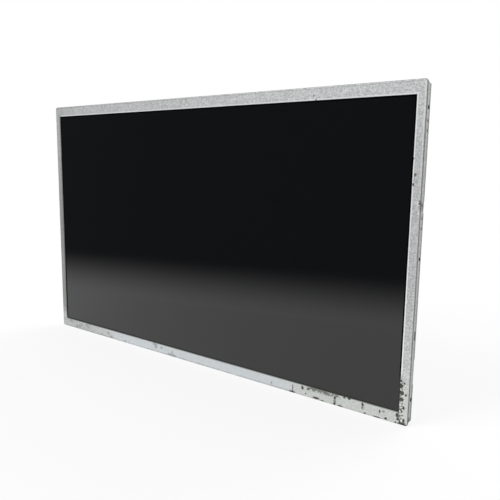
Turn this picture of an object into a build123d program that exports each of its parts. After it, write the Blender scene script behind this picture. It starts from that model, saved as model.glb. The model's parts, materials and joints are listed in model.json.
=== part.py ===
from build123d import *
import os

# Bare display module of a laptop, 14-inch class, 16:9, standing upright as it is used.
# X runs to the viewer's right, Y points from the screen to the back, Z points up.
# The origin is the middle of the bottom edge. Depths are measured back from the bezel's front face.
# All sizes are in millimetres.

# Lit area and the borders around it
ACTIVE_W = 309.4
ACTIVE_H = 173.95
DARK_MARGIN = 1.525         # unlit strip between the lit area and the bezel's edge
SIDE_BORDER = 5.525
TOP_BORDER = 7.7
BOTTOM_BORDER = 7.3

# Bezel, folded from one sheet
SHEET = 0.3
FOLD_R = 0.7                # outside radius of the folds
CORNER_R = 1.8
LIP_W = 0.6                 # sloped edge around the window
LIP_DROP = 0.2
RETURN_W = 1.6              # side walls turn in by this much at the back
TOP_WALL_SETBACK = 0.5      # top and bottom walls stop this far short of the back
BOTTOM_WALL_SETBACK = 0.9
RELIEF = 2.2                # side walls stop this far from the top and bottom edges
WALL_END_GAP = 4.0          # top and bottom walls stop this far from the side edges
RELIEF_FRONT = 1.0          # depth at which the corner reliefs start
NOTCH_SETBACK = 1.2         # side walls are this much shallower in their notches
LOW_NOTCH = (24.0, 38.5)    # from the bottom edge
HIGH_NOTCH = (64.0, 70.5)   # from the top edge
WALL_END_R = 0.75
DIMPLE_R = 0.5
DIMPLE_DEPTH = 0.12
DIMPLES = (21.3, 26.6, 73.3, 78.7)  # from the top edge
DENT_R = 2.4                # knock on the fold beside the high notch, on the right
DENT_DEPTH = 0.22

# Windows in the walls and the frame's latches that snap into them
LATCH_W = 5.0
LATCH_D = 1.0
LATCH_RISE = 0.25
LATCH_FIT = 0.15
LATCH_DEPTH = 2.9           # middle of the latches
SIDE_LATCH_Z = 53.0
TOP_LATCH_X = (40.0, 120.0)
END_LATCH_SET = 6.0         # outer bottom latches from the board's ends

# Side screws, M2
SCREW_LOW = 15.5            # from the bottom edge
SCREW_TOP = 14.5            # from the top edge
SCREW_DEPTH = 2.85          # behind the front face
THREAD_R = 0.8              # tapping size
SCREW_HOLE_R = 1.0
NUT_W = 5.0
NUT_D = 2.8
NUT_EAR = 1.2
NUT_EAR_X = 1.1
NUT_FIT = 0.05
NUT_BACK_WALL = 0.3         # frame left between a nut and the glass

# Layers, front to back
GASKET = 0.05
POLARIZER = 0.2
GLASS = 0.5
TAPE = 0.1
LEDGE = 0.4
DIFFUSER = 0.12
PRISM = 0.15
LIGHT_GUIDE = 0.9
REFLECTOR = 0.2
COVER = 0.3
BOARD = 0.4
PART_HEIGHT = 0.9           # tallest part on the board
FILM = 0.08
REAR_CLEARANCE = 0.03

# How far the layers reach past the bezel's window or the lit area
GASKET_SHOW = 1.0           # black tape frame, inside the window and under the lip
GASKET_LAP = 0.25
GLASS_LAP = 1.975
GLASS_TOP_LAP = 1.5
GLASS_BOTTOM_LAP = 0.7
PAD_LEDGE = 3.0             # lower edge of the rear glass, bare for the films
POLARIZER_INSET = 0.4
REAR_POLARIZER_INSET = 0.7
LEDGE_MARGIN = 0.9          # from the lit area to the frame's ledge
TAPE_INSET = 0.2
TAPE_MARGIN = 0.3
FILM_LAP = 2.3              # backlight films past the lit area
FILM_FOOT = 0.3             # less at the bottom, above the lamp strip
EAR_W = 6.0                 # ears that hang the films in the frame
EAR_H = 1.3
EAR_X = 80.0
GUIDE_FOOT = 2.4            # light guide below the lit area
FIT = 0.25                  # room round the layers in the frame

# Moulded frame
FRAME_FIT = 0.1
FRAME_FACE_FIT = 0.05
FRAME_CORNER_R = 2.6

# Lamp strip
FLEX = 0.12
STRIP_LAP = 1.9             # strip over the light guide
STRIP_INSET = 5.0
LED_W = 3.8
LED_D = 0.8
LED_H = 1.2
LED_GAP = 0.1
LED_PITCH = 8.3
LED_WINDOW_W = 3.0
LED_WINDOW_D = 0.5
LED_WINDOW_H = 0.3
TAIL_W = 7.0
TAIL_SET = 16.0             # tail from the board's end
TAIL_RISE = 0.26            # tail above the board where it is plugged in
TAIL_GRIP = 1.9             # tail inside its socket
LED_SOCKET_END = 1.2
LED_SOCKET_H = 3.4
LED_SOCKET_Z = 3.4
LEVER_H = 1.0               # locking lever of that socket
LEVER_T = 0.25
SLOT_FIT = 0.03

# Rear cover
COVER_SEAT = 0.7            # cover's rim on the frame
COVER_FIT = 0.1
COVER_NOTCH = 1.6           # square cut between the cover's folded edges
COVER_FOLD_R = 0.6
COVER_FLANGE_SETBACK = 0.45
COVER_GAP = 0.8             # between the board and the cover
EMBOSS = 0.35
EMBOSS_SLOPE = 1.2
EMBOSS_COUNT = 3
EMBOSS_GAP = 9.0
EMBOSS_FOOT = 12.0

# Circuit board and what joins it to the glass
BOARD_INSET = 23.75         # board's ends from the panel's sides
BOARD_LOW = 1.2
BOARD_H = 11.0
BOARD_FIT = 0.3
BOARD_CORNER = 1.0
PIN_R = 0.6                 # frame's pins in the board
PIN_FIT = 0.1
PIN_SET = 3.0
PIN_UP = 1.3
SOURCE_COUNT = 3
SOURCE_W = 40.0
SOURCE_FILM = 0.1
SOURCE_LAP = 2.6            # film on the glass
SOURCE_FOOT = 1.7           # film on the board
WRAP_GAP = 0.2              # between a film and the bezel's bottom wall
WRAP_R = 0.5                # outside radius of a film's bends
WRAP_ROOM = 0.15            # between a film and the frame
SOURCE_CHIP_W = 16.0
SOURCE_CHIP_T = 0.4
SOURCE_CHIP_H = 1.6
SOURCE_CHIP_DROP = 0.3      # chip below the glass

# Cable socket
PIN_COUNT = 40
PIN_PITCH = 0.5
CONTACT_W = 0.2
CONTACT_T = 0.12
CONTACT_RISE = 0.24
CONTACT_OUT = 0.9
CONTACT_STEP = 0.15
CONTACT_SET = 0.25
SOCKET_SET = 38.0           # from the board's end
SOCKET_Z = 6.8
SOCKET_H = 3.6
SOCKET_END = 2.2
MOUTH_END = 1.0
MOUTH_FLOOR = 0.2
MOUTH_T = 0.45
MOUTH_DEPTH = 2.5
SHELL_T = 0.1
SHELL_FIT = 0.02
SHELL_FOOT = 0.8
SHELL_SLOT_W = 2.4
SHELL_SLOT_H = 0.7
SHELL_SLOT_X = 6.0

# Other parts on the board: size along X, along Z and off the board
CONTROLLER = (8.0, 8.0, 0.85)
CONTROLLER_X = 28.0
POWER_CHIP = (5.0, 5.0, 0.8)
POWER_X = -40.0
LED_DRIVER = (4.0, 4.0, 0.8)
LED_DRIVER_SET = 35.0       # from the board's end
MEMORY = (3.0, 3.9, 0.75)
MEMORY_X = 44.0
COIL = (4.4, 4.4, 0.9)
COIL_GAP = 2.0              # from the chip that it feeds
COIL_CORNER = 0.9
COIL_RECESS = 0.15
COIL_RECESS_R = 1.7
LEAD_COUNT = 4              # on each side of the memory chip
LEAD_W = 0.3
LEAD_OUT = 0.8
LEAD_T = 0.2
LEAD_PITCH = 0.65
CHIP_Z = 6.0                # chips' middle above the board's lower edge
CHIP_EDGE = 0.12
CAPACITOR = (1.6, 0.8, 0.7)
CAPACITOR_PITCH = 5.2
CAPACITOR_INSET = 1.4       # from the board's upper edge
RESISTOR = (1.0, 0.5, 0.35)
RESISTOR_PITCH = 6.1
RESISTOR_UP = 2.9           # from the board's lower edge
PART_MARGIN = 0.6
ROW_END = 5.0
FILM_WINDOW = 2.5           # film's cut-out round the cable socket
FILM_REACH = 4.5            # film on the cover
FILM_RAMP = 1.6

# Depth of each layer's front face
GASKET_D = SHEET + LIP_DROP
POLARIZER_D = GASKET_D + GASKET
FRONT_GLASS_D = POLARIZER_D + POLARIZER
REAR_GLASS_D = FRONT_GLASS_D + GLASS
REAR_POLARIZER_D = REAR_GLASS_D + GLASS
TAPE_D = REAR_POLARIZER_D + POLARIZER
LEDGE_D = TAPE_D + TAPE
UPPER_DIFFUSER_D = LEDGE_D + LEDGE
UPPER_PRISM_D = UPPER_DIFFUSER_D + DIFFUSER
LOWER_PRISM_D = UPPER_PRISM_D + PRISM
LOWER_DIFFUSER_D = LOWER_PRISM_D + PRISM
GUIDE_D = LOWER_DIFFUSER_D + DIFFUSER
REFLECTOR_D = GUIDE_D + LIGHT_GUIDE
BACK_D = REFLECTOR_D + REFLECTOR
COVER_REAR = BACK_D + COVER
BOARD_REAR = BACK_D + BOARD
PARTS_REAR = BOARD_REAR + PART_HEIGHT
PANEL_T = PARTS_REAR + FILM + REAR_CLEARANCE

# Limits across and up the panel
WINDOW_W = ACTIVE_W + 2 * DARK_MARGIN
WINDOW_H = ACTIVE_H + 2 * DARK_MARGIN
WINDOW_TOP = BOTTOM_BORDER + WINDOW_H
PANEL_W = WINDOW_W + 2 * SIDE_BORDER
PANEL_H = WINDOW_TOP + TOP_BORDER
HALF_W = PANEL_W / 2
ACTIVE_LOW = BOTTOM_BORDER + DARK_MARGIN
ACTIVE_TOP = ACTIVE_LOW + ACTIVE_H
GLASS_HALF = WINDOW_W / 2 + GLASS_LAP
GLASS_TOP = WINDOW_TOP + GLASS_TOP_LAP
GLASS_LOW = BOTTOM_BORDER - GLASS_BOTTOM_LAP
PAD_LOW = GLASS_LOW - PAD_LEDGE
FILM_HALF = ACTIVE_W / 2 + FILM_LAP
FILM_TOP = ACTIVE_TOP + FILM_LAP
FILM_LOW = ACTIVE_LOW - FILM_FOOT
GUIDE_LOW = ACTIVE_LOW - GUIDE_FOOT
STRIP_HALF = FILM_HALF - STRIP_INSET
POCKET_HALF = FILM_HALF + FIT
POCKET_LOW = PAD_LOW - FIT
POCKET_TOP = FILM_TOP + FIT
COVER_HALF = POCKET_HALF + COVER_SEAT
COVER_TOP = POCKET_TOP + COVER_SEAT
COVER_FOOT = POCKET_LOW - COVER_SEAT
FRAME_HALF = HALF_W - SHEET - FRAME_FIT
FRAME_LOW = SHEET + FRAME_FIT
FRAME_TOP = PANEL_H - FRAME_LOW
FRAME_FRONT = SHEET + FRAME_FACE_FIT
FRAME_REAR = PANEL_T - FRAME_FRONT
NUT_DEPTH = FRAME_HALF - GLASS_HALF - FIT - NUT_BACK_WALL
BOARD_HALF = HALF_W - BOARD_INSET
BOARD_TOP = BOARD_LOW + BOARD_H
COVER_LOW = BOARD_TOP + COVER_GAP
WRAP_LOW = SHEET + WRAP_GAP
SOURCE_PITCH = 2 * BOARD_HALF / SOURCE_COUNT
SOURCE_X = [(i - (SOURCE_COUNT - 1) / 2) * SOURCE_PITCH for i in range(SOURCE_COUNT)]
BOTTOM_LATCH_X = (SOURCE_PITCH / 2, BOARD_HALF - END_LATCH_SET)
TAIL_X = TAIL_SET - BOARD_HALF
SOCKET_X = BOARD_HALF - SOCKET_SET
SOCKET_HALF = PIN_COUNT * PIN_PITCH / 2 + SOCKET_END
SOCKET_TOP = SOCKET_Z + SOCKET_H
LED_SOCKET_HALF = TAIL_W / 2 + LED_SOCKET_END
LED_DRIVER_X = LED_DRIVER_SET - BOARD_HALF
CHIP_MIDDLE = BOARD_LOW + CHIP_Z
SCREW_HIGH = PANEL_H - SCREW_TOP
SCREWS_Z = (SCREW_LOW, (SCREW_LOW + SCREW_HIGH) / 2, SCREW_HIGH)
BEYOND = 1.0                # how far cutting tools reach past what they cut


def facing(d):
    """Plane parallel to the screen at a depth, with X to the right and Z up."""
    return Plane(origin=(0, d - PANEL_T / 2, 0), x_dir=(1, 0, 0), z_dir=(0, -1, 0))


def side_on(x):
    """Plane square to X, whose first coordinate is depth and second is height."""
    return Plane(origin=(x, -PANEL_T / 2, 0), x_dir=(0, 1, 0), z_dir=(1, 0, 0))


def rect(x0, x1, y0, y1):
    """Rectangle between its limits, in any plane."""
    return Pos((x0 + x1) / 2, (y0 + y1) / 2) * Rectangle(x1 - x0, y1 - y0)


def sheet(outline, d0, d1):
    """Outline seen from the front, solid between two depths."""
    return extrude(facing(d0) * outline, amount=d1 - d0, dir=(0, 1, 0))


def slab(x0, x1, d0, d1, z0, z1):
    """Block between its limits across, in depth and in height."""
    return sheet(rect(x0, x1, z0, z1), d0, d1)


def across(profile, x, width):
    """Profile of depth and height, drawn out to a width about x."""
    return extrude(side_on(x) * profile, amount=width / 2, both=True)


def on_both_sides(shape):
    """Shape and its mirror image across the middle of the panel."""
    return shape + mirror(shape, about=Plane.YZ)


def group(pieces):
    """Like pieces kept as separate solids."""
    return Compound([piece.solid() for piece in pieces])


def rounded_block(half_w, low, top, corner, d0, d1):
    """Block with rounded corners between two depths."""
    outline = Pos(0, (low + top) / 2) * RectangleRounded(2 * half_w, top - low, corner)
    return sheet(outline, d0, d1)


def rims(block):
    """Edges round a block's front and rear faces."""
    ends = block.faces().sort_by(Axis.Y)
    return ends[0].edges() + ends[-1].edges()


def pan(half_w, low, top, corner, d0, d1, fold):
    """Closed box with rounded corners and rounded front and rear edges."""
    return fillet(rims(rounded_block(half_w, low, top, corner, d0, d1)), fold)


def frustum(wide, narrow, d0, d1):
    """Straight-sided funnel between two rectangles, each given as half width, low and top."""
    sections = [facing(d) * rect(-half, half, low, top) for (half, low, top), d in ((wide, d0), (narrow, d1))]
    return loft(sections, ruled=True)


def around_window(margin):
    """Rectangle at a margin outside the window's edge."""
    half = WINDOW_W / 2 + margin
    return rect(-half, half, BOTTOM_BORDER - margin, WINDOW_TOP + margin)


def window_lip():
    """Sloped edge of sheet around the bezel's window, mitred at its corners."""
    inner = (WINDOW_W / 2, BOTTOM_BORDER, WINDOW_TOP)
    outer = (inner[0] + LIP_W, inner[1] - LIP_W, inner[2] + LIP_W)
    lip = sheet(around_window(LIP_W), 0, SHEET)
    lip += frustum(outer, inner, SHEET, GASKET_D)
    lip -= frustum(outer, inner, 0, LIP_DROP)
    return lip - sheet(around_window(0), LIP_DROP, GASKET_D)


def side_wall_cut():
    """What is cut from a side wall: the corner reliefs and the two notches, with rounded ends."""
    notch_d = PANEL_T - NOTCH_SETBACK
    low_end, high_end = RELIEF, PANEL_H - RELIEF
    ends = (low_end, *LOW_NOTCH, PANEL_H - HIGH_NOTCH[1], PANEL_H - HIGH_NOTCH[0], high_end)
    wall = rect(0, notch_d, low_end, high_end)
    for low, top in zip(ends[::2], ends[1::2]):
        tongue = rect(0, PANEL_T, low, top)
        wall += fillet(tongue.vertices().group_by(Axis.X)[-1], WALL_END_R)
    outline = rect(RELIEF_FRONT, PANEL_T + BEYOND, -BEYOND, PANEL_H + BEYOND) - wall
    width = WALL_END_GAP + BEYOND
    return across(outline, HALF_W + BEYOND - width / 2, width)


def side_hole(radius, z, x, length):
    """Round tools along X on both sides at the screws' depth, from x outwards."""
    hole = Pos(x + length / 2, SCREW_DEPTH - PANEL_T / 2, z) * Rot(0, 90, 0) * Cylinder(radius, length)
    return on_both_sides(hole)


def dimple(z):
    """Balls that press a shallow dimple into both side walls at a height."""
    ball = (DIMPLE_R ** 2 + DIMPLE_DEPTH ** 2) / (2 * DIMPLE_DEPTH)
    return on_both_sides(Pos(HALF_W - DIMPLE_DEPTH + ball, SCREW_DEPTH - PANEL_T / 2, z) * Sphere(ball))


def latch():
    """Wedge that snaps into a window, pointing up, with its slope to the front."""
    half = LATCH_D / 2
    profile = Polyline((-half, 0), (half, 0), (half, LATCH_RISE), (0, LATCH_RISE), close=True)
    return extrude(Plane.YZ * make_face(profile), amount=LATCH_W / 2, both=True)


def latch_window():
    """Tool that cuts the window for a latch."""
    reach = 2 * (SHEET + FRAME_FIT + BEYOND)
    return Box(LATCH_W + 2 * LATCH_FIT, LATCH_D + 2 * LATCH_FIT, reach)


def at_latches(shape):
    """Copies of a shape at every latch, turned so that its own Z points out of the frame."""
    y = LATCH_DEPTH - PANEL_T / 2
    places = []
    for side in (-1, 1):
        places += [Pos(side * x, y, FRAME_TOP) for x in TOP_LATCH_X]
        places += [Pos(side * x, y, FRAME_LOW) * Rot(0, 180, 0) for x in BOTTOM_LATCH_X]
        places.append(Pos(side * FRAME_HALF, y, SIDE_LATCH_Z) * Rot(0, side * 90, 0))
    return [place * shape for place in places]


def knock():
    """Ball that dents the right-hand fold beside the high notch."""
    sag = FOLD_R * (1 - 0.5 ** 0.5)
    out = (DENT_R - DENT_DEPTH) * 0.5 ** 0.5
    z = PANEL_H - HIGH_NOTCH[0] - DENT_R / 2
    return Pos(HALF_W - sag + out, sag - out - PANEL_T / 2, z) * Sphere(DENT_R)


def front_bezel():
    """Steel frame folded from one sheet, with a lipped window, four walls and turned-in side edges."""
    bezel = pan(HALF_W, 0, PANEL_H, CORNER_R, 0, PANEL_T, FOLD_R)
    inner_r = CORNER_R - SHEET
    bezel -= pan(HALF_W - SHEET, SHEET, PANEL_H - SHEET, inner_r, SHEET, PANEL_T - SHEET, FOLD_R - SHEET)
    bezel -= sheet(around_window(LIP_W), -BEYOND, 2 * SHEET)
    bezel += window_lip()
    back = HALF_W - RETURN_W
    middle = PANEL_H / 2
    bezel -= slab(-back, back, PANEL_T - TOP_WALL_SETBACK, PANEL_T + BEYOND, middle, PANEL_H + BEYOND)
    bezel -= slab(-back, back, PANEL_T - BOTTOM_WALL_SETBACK, PANEL_T + BEYOND, -BEYOND, middle)
    bezel -= on_both_sides(side_wall_cut())
    for tool in at_latches(latch_window()):
        bezel -= tool
    for z in SCREWS_Z:
        bezel -= side_hole(SCREW_HOLE_R, z, HALF_W - 2 * SHEET, 2 * SHEET + BEYOND)
    for drop in DIMPLES:
        bezel -= dimple(PANEL_H - drop)
    return bezel - knock()


def bezel_gasket():
    """Black tape frame between the bezel's lip and the cell, its inner edge showing in the window."""
    return sheet(around_window(GASKET_LAP) - around_window(-GASKET_SHOW), GASKET_D, POLARIZER_D)


def front_polarizer():
    half = GLASS_HALF - POLARIZER_INSET
    return slab(-half, half, POLARIZER_D, FRONT_GLASS_D, GLASS_LOW + POLARIZER_INSET, GLASS_TOP - POLARIZER_INSET)


def color_filter_glass():
    return slab(-GLASS_HALF, GLASS_HALF, FRONT_GLASS_D, REAR_GLASS_D, GLASS_LOW, GLASS_TOP)


def tft_glass():
    """Rear glass, longer at the bottom for the contact pads."""
    return slab(-GLASS_HALF, GLASS_HALF, REAR_GLASS_D, REAR_POLARIZER_D, PAD_LOW, GLASS_TOP)


def rear_polarizer():
    inset = REAR_POLARIZER_INSET
    half = GLASS_HALF - inset
    return slab(-half, half, REAR_POLARIZER_D, TAPE_D, PAD_LOW + inset, GLASS_TOP - inset)


def lit_margin(margin):
    """Rectangle around the lit area."""
    half = ACTIVE_W / 2 + margin
    return rect(-half, half, ACTIVE_LOW - margin, ACTIVE_TOP + margin)


def cell_tape():
    half = GLASS_HALF - TAPE_INSET
    outline = rect(-half, half, PAD_LOW + TAPE_INSET, GLASS_TOP - TAPE_INSET)
    return sheet(outline - lit_margin(LEDGE_MARGIN + TAPE_MARGIN), TAPE_D, LEDGE_D)


def film_outline(room=0.0):
    """Backlight film with two ears on its upper edge, or with room added round the ears."""
    outline = rect(-FILM_HALF, FILM_HALF, FILM_LOW, FILM_TOP)
    half = EAR_W / 2 + room
    for x in (-EAR_X, EAR_X):
        outline += rect(x - half, x + half, FILM_TOP - EAR_H, FILM_TOP + EAR_H + room)
    return outline


def light_guide():
    return slab(-FILM_HALF, FILM_HALF, GUIDE_D, REFLECTOR_D, GUIDE_LOW, FILM_TOP)


def reflector_sheet():
    return slab(-FILM_HALF, FILM_HALF, REFLECTOR_D, BACK_D, PAD_LOW, FILM_TOP)


def wrap(front_d, rear_d, thickness, front_top, rear_top):
    """Section of a strip that goes down, under the frame and up again, its board side at rear_d."""
    high = max(front_top, rear_top)
    outer = rect(front_d, rear_d + thickness, WRAP_LOW, high)
    outer = fillet(outer.vertices().group_by(Axis.Y)[0], WRAP_R)
    inner = rect(front_d + thickness, rear_d, WRAP_LOW + thickness, high)
    inner = fillet(inner.vertices().group_by(Axis.Y)[0], WRAP_R - thickness)
    middle = (front_d + rear_d) / 2
    if front_top < rear_top:
        surplus = rect(front_d - BEYOND, middle, front_top, high + BEYOND)
    else:
        surplus = rect(middle, rear_d + BEYOND, rear_top, high + BEYOND)
    return outer - inner - surplus


def led_strip():
    """Flexible strip under the lamps, with the tail that goes round to the board."""
    strip = slab(-STRIP_HALF, STRIP_HALF, GUIDE_D - FLEX, GUIDE_D, PAD_LOW, GUIDE_LOW + STRIP_LAP)
    tail = wrap(GUIDE_D - FLEX, BOARD_REAR + TAIL_RISE, FLEX, PAD_LOW, LED_SOCKET_Z + TAIL_GRIP)
    return strip + across(tail, TAIL_X, TAIL_W)


def leds():
    """Row of side-view lamps, each with its window facing the light guide."""
    count = int((2 * STRIP_HALF - LED_W) / LED_PITCH) + 1
    y = GUIDE_D + LED_D / 2 - PANEL_T / 2
    z = GUIDE_LOW - LED_GAP - LED_H / 2
    lamp = Box(LED_W, LED_D, LED_H)
    lamp -= Pos(0, 0, LED_H / 2) * Box(LED_WINDOW_W, LED_WINDOW_D, 2 * LED_WINDOW_H)
    return group([Pos((i - (count - 1) / 2) * LED_PITCH, y, z) * lamp for i in range(count)])


def nut_block(z, room, rear_d, reach):
    """Right-hand plate nut with ears at its inner end, or with room and reach the slot that takes it."""
    half = NUT_W / 2 + room
    inner = -NUT_DEPTH - room
    profile = rect(inner, reach, -half, half)
    profile += rect(inner, NUT_EAR_X - NUT_DEPTH + room, -half - NUT_EAR, half + NUT_EAR)
    front_d = SCREW_DEPTH - NUT_D / 2 - room
    return Pos(FRAME_HALF, 0, z) * sheet(profile, front_d, rear_d)


def side_nuts():
    """Steel plate nuts behind the bezel's side holes."""
    nuts = []
    for z in SCREWS_Z:
        nut = nut_block(z, 0, SCREW_DEPTH + NUT_D / 2, 0)
        nut -= side_hole(THREAD_R, z, FRAME_HALF - NUT_DEPTH - BEYOND, NUT_DEPTH + 2 * BEYOND)
        nuts += [nut, mirror(nut, about=Plane.YZ)]
    return group(nuts)


def board_pins(radius):
    """Round pegs at the ends of the board, as deep as the board."""
    y = (BACK_D + BOARD_REAR) / 2 - PANEL_T / 2
    peg = Pos(BOARD_HALF - PIN_SET, y, BOARD_LOW + PIN_UP) * Rot(90, 0, 0) * Cylinder(radius, BOARD)
    return on_both_sides(peg)


def mold_frame():
    """Moulded frame: a ledge for the cell, pockets for the backlight, cover, board and nuts, and latches."""
    block = rounded_block(FRAME_HALF, FRAME_LOW, FRAME_TOP, FRAME_CORNER_R, FRAME_FRONT, FRAME_REAR)
    frame = chamfer(rims(block), FOLD_R - SHEET)
    cell_half = GLASS_HALF + FIT
    frame -= slab(-cell_half, cell_half, 0, LEDGE_D, POCKET_LOW, GLASS_TOP + FIT)
    frame -= sheet(lit_margin(LEDGE_MARGIN), 0, PANEL_T)
    frame -= slab(-POCKET_HALF, POCKET_HALF, UPPER_DIFFUSER_D, BACK_D, POCKET_LOW, POCKET_TOP)
    frame -= sheet(film_outline(FIT), UPPER_DIFFUSER_D, GUIDE_D)
    cover_half = COVER_HALF + COVER_FIT
    frame -= slab(-cover_half, cover_half, BACK_D, PANEL_T, COVER_FOOT - COVER_FIT, COVER_TOP + COVER_FIT)
    board_half = BOARD_HALF + BOARD_FIT
    frame -= slab(-board_half, board_half, BACK_D, PANEL_T, 0, COVER_LOW)
    for x in SOURCE_X:
        half = SOURCE_W / 2 + FIT
        frame -= slab(x - half, x + half, 0, REAR_GLASS_D + WRAP_ROOM, 0, PAD_LOW)
        frame -= slab(x - half, x + half, 0, PANEL_T, 0, WRAP_LOW + SOURCE_FILM + 2 * WRAP_ROOM)
    half = TAIL_W / 2 + FIT
    frame -= slab(TAIL_X - half, TAIL_X + half, GUIDE_D - FLEX - WRAP_ROOM, PANEL_T, 0, PAD_LOW)
    for z in SCREWS_Z:
        frame -= on_both_sides(nut_block(z, NUT_FIT, PANEL_T, BEYOND))
    for wedge in at_latches(latch()):
        frame += wedge
    return frame + board_pins(PIN_R)


def emboss(half, low, top, d):
    """Flat-topped stiffening field that rises to the back from a depth."""
    slope = EMBOSS_SLOPE
    return frustum((half, low, top), (half - slope, low + slope, top - slope), d, d + EMBOSS)


def cover_tray(inset, d0, low):
    """Tray from a depth to the edge of the cover's folded sides, with its upper corners notched."""
    half = COVER_HALF - inset
    tray = slab(-half, half, d0, PANEL_T - COVER_FLANGE_SETBACK + inset, low, COVER_TOP - inset)
    notch = slab(COVER_HALF - COVER_NOTCH, HALF_W, 0, PANEL_T, COVER_TOP - COVER_NOTCH, PANEL_H)
    tray -= on_both_sides(notch)
    edges = tray.faces().sort_by(Axis.Y)[0].edges()
    across_x = edges.sort_by(Axis.X)
    folds = [across_x[0], across_x[-1], edges.sort_by(Axis.Z)[-1]]
    return fillet(folds, COVER_FOLD_R - inset)


def rear_cover():
    """Stamped back with stiffening fields, edges turned to the rear and a leg on each side of the board."""
    cover = cover_tray(0, BACK_D, COVER_FOOT) - cover_tray(COVER, COVER_REAR, COVER_FOOT - BEYOND)
    inside_legs = BOARD_HALF + BOARD_FIT + COVER_GAP
    cover -= slab(-inside_legs, inside_legs, 0, PANEL_T, 0, COVER_LOW)
    pitch = 2 * (COVER_HALF - EMBOSS_GAP / 2) / EMBOSS_COUNT
    half = (pitch - EMBOSS_GAP) / 2
    low, top = COVER_LOW + EMBOSS_FOOT, COVER_TOP - EMBOSS_GAP
    for i in range(EMBOSS_COUNT):
        place = Pos((i - (EMBOSS_COUNT - 1) / 2) * pitch, 0, 0)
        cover += place * emboss(half, low, top, COVER_REAR)
        cover -= place * emboss(half, low, top, BACK_D)
    return cover


def driver_board():
    outline = rect(-BOARD_HALF, BOARD_HALF, BOARD_LOW, BOARD_TOP)
    outline = chamfer(outline.vertices().group_by(Axis.Y)[-1], BOARD_CORNER)
    return sheet(outline, BACK_D, BOARD_REAR) - board_pins(PIN_R + PIN_FIT)


def source_film(x):
    """Film bonded to the rear glass, bent under the frame and bonded to the board."""
    section = wrap(REAR_GLASS_D - SOURCE_FILM, BOARD_REAR, SOURCE_FILM, PAD_LOW + SOURCE_LAP, BOARD_LOW + SOURCE_FOOT)
    return across(section, x, SOURCE_W)


def source_driver(x):
    """Long driver chip on the front of its film, below the glass."""
    rear_d = REAR_GLASS_D - SOURCE_FILM
    top = PAD_LOW - SOURCE_CHIP_DROP
    half = SOURCE_CHIP_W / 2
    return slab(x - half, x + half, rear_d - SOURCE_CHIP_T, rear_d, top - SOURCE_CHIP_H, top)


def contact_section():
    """One contact of the cable socket: foot on the board, step and beam."""
    foot_low = SOCKET_Z - CONTACT_OUT
    step = SOCKET_Z - CONTACT_STEP
    beam_d = BOARD_REAR + CONTACT_RISE
    section = rect(BOARD_REAR, BOARD_REAR + CONTACT_T, foot_low, step)
    section += rect(BOARD_REAR, beam_d + CONTACT_T, step - CONTACT_T, step)
    return section + rect(beam_d, beam_d + CONTACT_T, step - CONTACT_T, SOCKET_TOP - CONTACT_SET)


def signal_connector_contacts():
    section = contact_section()
    places = [SOCKET_X + (i - (PIN_COUNT - 1) / 2) * PIN_PITCH for i in range(PIN_COUNT)]
    return group([across(section, x, CONTACT_W) for x in places])


def signal_connector_housing():
    """Insulator of the cable socket, open at the top for the plug."""
    x0, x1 = SOCKET_X - SOCKET_HALF, SOCKET_X + SOCKET_HALF
    rear_d = PARTS_REAR - SHELL_T
    body = slab(x0, x1, BOARD_REAR, rear_d, SOCKET_Z, SOCKET_TOP)
    floor_d = BOARD_REAR + MOUTH_FLOOR
    mouth_low = SOCKET_TOP - MOUTH_DEPTH
    body -= slab(x0 + MOUTH_END, x1 - MOUTH_END, floor_d, floor_d + MOUTH_T, mouth_low, SOCKET_TOP + BEYOND)
    beam_d = BOARD_REAR + CONTACT_RISE
    row = PIN_COUNT * PIN_PITCH / 2
    slot = (beam_d - SLOT_FIT, beam_d + CONTACT_T + SLOT_FIT)
    return body - slab(SOCKET_X - row, SOCKET_X + row, *slot, SOCKET_Z - BEYOND, mouth_low + BEYOND)


def signal_connector_shell():
    """Steel shell over the cable socket, with a soldered foot at each end and spring slots."""
    inner = SOCKET_HALF + SHELL_FIT
    outer = inner + SHELL_T
    plate_d = PARTS_REAR - SHELL_T
    shell = slab(-outer, outer, plate_d, PARTS_REAR, SOCKET_Z, SOCKET_TOP)
    leg = slab(inner, outer, BOARD_REAR, PARTS_REAR, SOCKET_Z, SOCKET_TOP)
    leg += slab(inner, outer + SHELL_FOOT, BOARD_REAR, BOARD_REAR + SHELL_T, SOCKET_Z, SOCKET_TOP)
    shell += on_both_sides(leg)
    half = SHELL_SLOT_W / 2
    z = SOCKET_Z + SOCKET_H / 2
    slot = slab(-half, half, plate_d - SHELL_FIT, PARTS_REAR + SHELL_T, z - SHELL_SLOT_H / 2, z + SHELL_SLOT_H / 2)
    for x in (-SHELL_SLOT_X, 0, SHELL_SLOT_X):
        shell -= Pos(x, 0, 0) * slot
    return Pos(SOCKET_X, 0, 0) * shell


def led_connector():
    """Socket that grips the lamp strip's tail from below, with its lever pressed down."""
    x0, x1 = TAIL_X - LED_SOCKET_HALF, TAIL_X + LED_SOCKET_HALF
    body = slab(x0, x1, BOARD_REAR, PARTS_REAR, LED_SOCKET_Z, LED_SOCKET_Z + LED_SOCKET_H)
    tail_d = BOARD_REAR + TAIL_RISE
    half = TAIL_W / 2 + SLOT_FIT
    slot_top = LED_SOCKET_Z + TAIL_GRIP + SLOT_FIT
    slot = (tail_d - SLOT_FIT, tail_d + FLEX + SLOT_FIT)
    body -= slab(TAIL_X - half, TAIL_X + half, *slot, LED_SOCKET_Z - BEYOND, slot_top)
    lever_low = LED_SOCKET_Z + LEVER_H
    return body - slab(TAIL_X - half, TAIL_X + half, PARTS_REAR - LEVER_T, PANEL_T, lever_low, lever_low + LEVER_T)


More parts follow.
